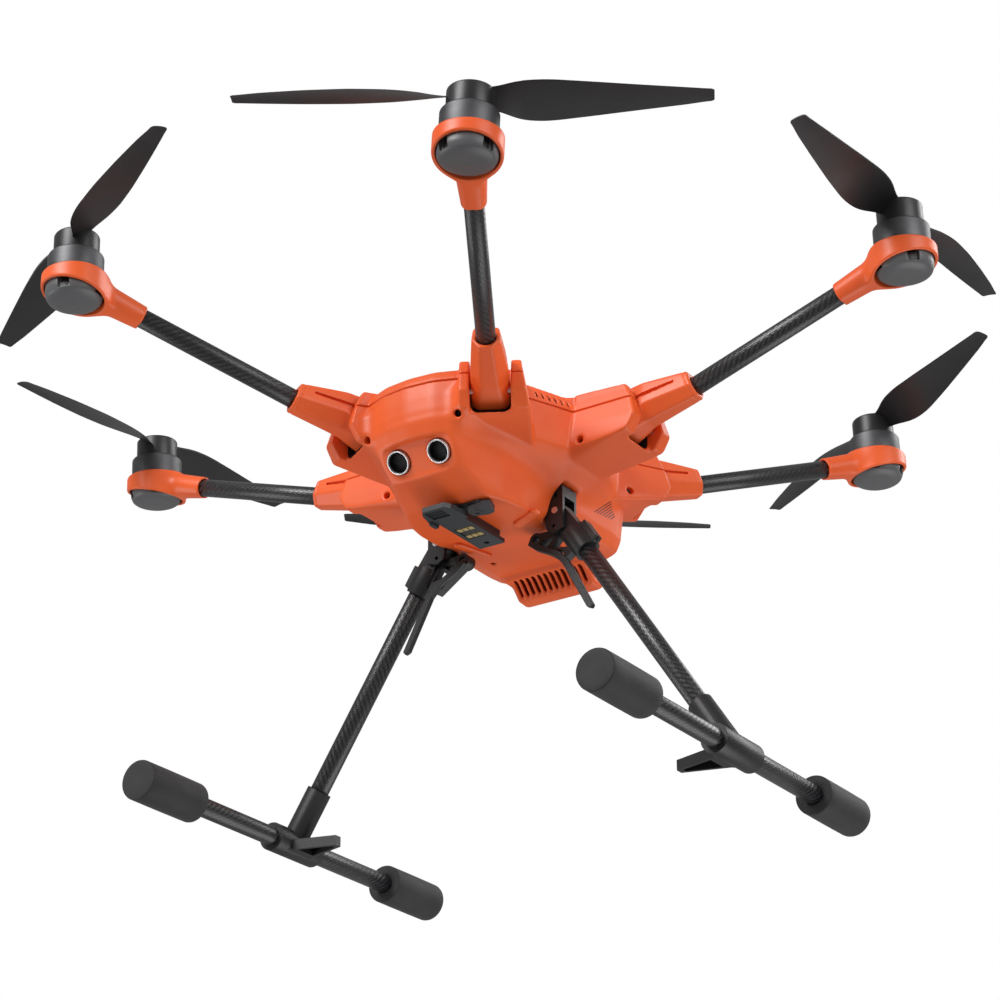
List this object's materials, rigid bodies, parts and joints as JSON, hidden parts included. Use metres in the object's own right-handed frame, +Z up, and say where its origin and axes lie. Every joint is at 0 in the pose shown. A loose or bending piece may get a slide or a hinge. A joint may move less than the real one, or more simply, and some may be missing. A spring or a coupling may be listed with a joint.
{
  "type": "hexacopter drone",
  "caption": "Folding multirotor camera drone with tubular arms, two-blade propellers, ultrasonic nose sensors, a gimbal dock and retractable skid landing gear on foam feet.",
  "frame": {"origin": "on the ground, below the centre of the motor circle", "axes": "+Z up, -Y towards the nose, +X the drone's left"},
  "size_m": [0.514, 0.5367, 0.279],
  "materials": {
    "orange_shell": "satin moulded orange",
    "orange_arm": "satin moulded orange",
    "carbon": "clear-coated woven carbon fibre",
    "black_plastic": "fine moulded grain",
    "prop_black": "satin",
    "motor_grey": "dark anodised, turned",
    "base_grey": "smoky lens grey",
    "silver": "satin",
    "dock_grey": "satin",
    "gold": "polished",
    "foam": "closed-cell foam, matt",
    "battery_dark": "satin",
    "board_green": "lacquered"
  },
  "bodies": {
    "airframe": {"top_shell": "orange_shell", "bottom_shell": "orange_shell", "frame_plate": "carbon", "flight_board": "board_green", "hinge_pins": "silver", "shell_screws": "black_plastic", "sonar_sensors": "silver", "gimbal_dock": "dock_grey", "dock_contacts": "gold", "gear_brackets": "black_plastic", "gear_actuators": "black_plastic"},
    "battery": {"battery_pack": "battery_dark"},
    "power_button": {"power_button": "black_plastic"},
    "dock_release": {"dock_release": "dock_grey"},
    "arm_front_left": {"arm_sleeve_front_left": "orange_arm", "arm_tube_front_left": "carbon", "motor_mount_front_left": "orange_arm", "motor_base_front_left": "base_grey"},
    "rotor_front_left": {"motor_bell_front_left": "motor_grey", "propeller_front_left": "prop_black"},
    "arm_mid_left": {"arm_sleeve_mid_left": "orange_arm", "arm_tube_mid_left": "carbon", "motor_mount_mid_left": "orange_arm", "motor_base_mid_left": "base_grey"},
    "rotor_mid_left": {"motor_bell_mid_left": "motor_grey", "propeller_mid_left": "prop_black"},
    "arm_rear_left": {"arm_sleeve_rear_left": "orange_arm", "arm_tube_rear_left": "carbon", "motor_mount_rear_left": "orange_arm", "motor_base_rear_left": "base_grey"},
    "rotor_rear_left": {"motor_bell_rear_left": "motor_grey", "propeller_rear_left": "prop_black"},
    "arm_rear_right": {"arm_sleeve_rear_right": "orange_arm", "arm_tube_rear_right": "carbon", "motor_mount_rear_right": "orange_arm", "motor_base_rear_right": "base_grey"},
    "rotor_rear_right": {"motor_bell_rear_right": "motor_grey", "propeller_rear_right": "prop_black"},
    "arm_mid_right": {"arm_sleeve_mid_right": "orange_arm", "arm_tube_mid_right": "carbon", "motor_mount_mid_right": "orange_arm", "motor_base_mid_right": "base_grey"},
    "rotor_mid_right": {"motor_bell_mid_right": "motor_grey", "propeller_mid_right": "prop_black"},
    "arm_front_right": {"arm_sleeve_front_right": "orange_arm", "arm_tube_front_right": "carbon", "motor_mount_front_right": "orange_arm", "motor_base_front_right": "base_grey"},
    "rotor_front_right": {"motor_bell_front_right": "motor_grey", "propeller_front_right": "prop_black"},
    "gear_left": {"leg_clamp_left": "black_plastic", "antenna_blade_left": "black_plastic", "gear_tubes_left": "carbon", "leg_tee_left": "black_plastic", "foot_pads_left": "foam"},
    "gear_right": {"leg_clamp_right": "black_plastic", "antenna_blade_right": "black_plastic", "gear_tubes_right": "carbon", "leg_tee_right": "black_plastic", "foot_pads_right": "foam"}
  },
  "joints": [
    {"name": "fold_front_left", "type": "hinge", "parent": "airframe", "child": "arm_front_left", "pos_m": [0.043, -0.07448, 0.1971], "axis": [0.866, 0.5, 0], "range_deg": [0, 65]},
    {"name": "spin_front_left", "type": "hinge", "parent": "arm_front_left", "child": "rotor_front_left", "pos_m": [0.12099, -0.20728, 0.27257], "axis": [0.0414, 0.0235, 0.9989], "continuous": true},
    {"name": "fold_mid_left", "type": "hinge", "parent": "airframe", "child": "arm_mid_left", "pos_m": [0.086, 0, 0.1971], "axis": [0, 1, 0], "range_deg": [0, 65]},
    {"name": "spin_mid_left", "type": "hinge", "parent": "arm_mid_left", "child": "rotor_mid_left", "pos_m": [0.24001, -0.00114, 0.27257], "axis": [0.0004, -0.0476, 0.9989], "continuous": true},
    {"name": "fold_rear_left", "type": "hinge", "parent": "airframe", "child": "arm_rear_left", "pos_m": [0.043, 0.07448, 0.1971], "axis": [-0.866, 0.5, 0], "range_deg": [0, 65]},
    {"name": "spin_rear_left", "type": "hinge", "parent": "arm_rear_left", "child": "rotor_rear_left", "pos_m": [0.11902, 0.20842, 0.27257], "axis": [-0.0411, 0.0241, 0.9989], "continuous": true},
    {"name": "fold_rear_right", "type": "hinge", "parent": "airframe", "child": "arm_rear_right", "pos_m": [-0.043, 0.07448, 0.1971], "axis": [-0.866, -0.5, 0], "range_deg": [0, 65]},
    {"name": "spin_rear_right", "type": "hinge", "parent": "arm_rear_right", "child": "rotor_rear_right", "pos_m": [-0.11902, 0.20842, 0.27257], "axis": [0.0411, 0.0241, 0.9989], "continuous": true},
    {"name": "fold_mid_right", "type": "hinge", "parent": "airframe", "child": "arm_mid_right", "pos_m": [-0.086, 0, 0.1971], "axis": [0, -1, 0], "range_deg": [0, 65]},
    {"name": "spin_mid_right", "type": "hinge", "parent": "arm_mid_right", "child": "rotor_mid_right", "pos_m": [-0.24001, -0.00114, 0.27257], "axis": [-0.0004, -0.0476, 0.9989], "continuous": true},
    {"name": "fold_front_right", "type": "hinge", "parent": "airframe", "child": "arm_front_right", "pos_m": [-0.043, -0.07448, 0.1971], "axis": [0.866, -0.5, 0], "range_deg": [0, 65]},
    {"name": "spin_front_right", "type": "hinge", "parent": "arm_front_right", "child": "rotor_front_right", "pos_m": [-0.12099, -0.20728, 0.27257], "axis": [-0.0414, 0.0235, 0.9989], "continuous": true},
    {"name": "retract_left", "type": "hinge", "parent": "airframe", "child": "gear_left", "pos_m": [0.0375, 0, 0.1584], "axis": [0, 1, 0], "range_deg": [-60, 0]},
    {"name": "retract_right", "type": "hinge", "parent": "airframe", "child": "gear_right", "pos_m": [-0.0375, 0, 0.1584], "axis": [0, -1, 0], "range_deg": [-60, 0]},
    {"name": "battery_slide", "type": "slide", "parent": "airframe", "child": "battery", "axis": [0, 1, 0], "range_m": [0, 0.08]},
    {"name": "button_press", "type": "slide", "parent": "airframe", "child": "power_button", "axis": [0, 0, -1], "range_m": [0, 0.0008], "stiffness_N_per_m": 300},
    {"name": "release_swing", "type": "hinge", "parent": "airframe", "child": "dock_release", "pos_m": [0.0164, -0.0465, 0.1495], "axis": [0, 0, 1], "range_deg": [0, 20], "stiffness_Nm_per_rad": 0.01}
  ],
  "couplings": [
    {"joint": "retract_right", "follows": "retract_left", "ratio": 1}
  ]
}
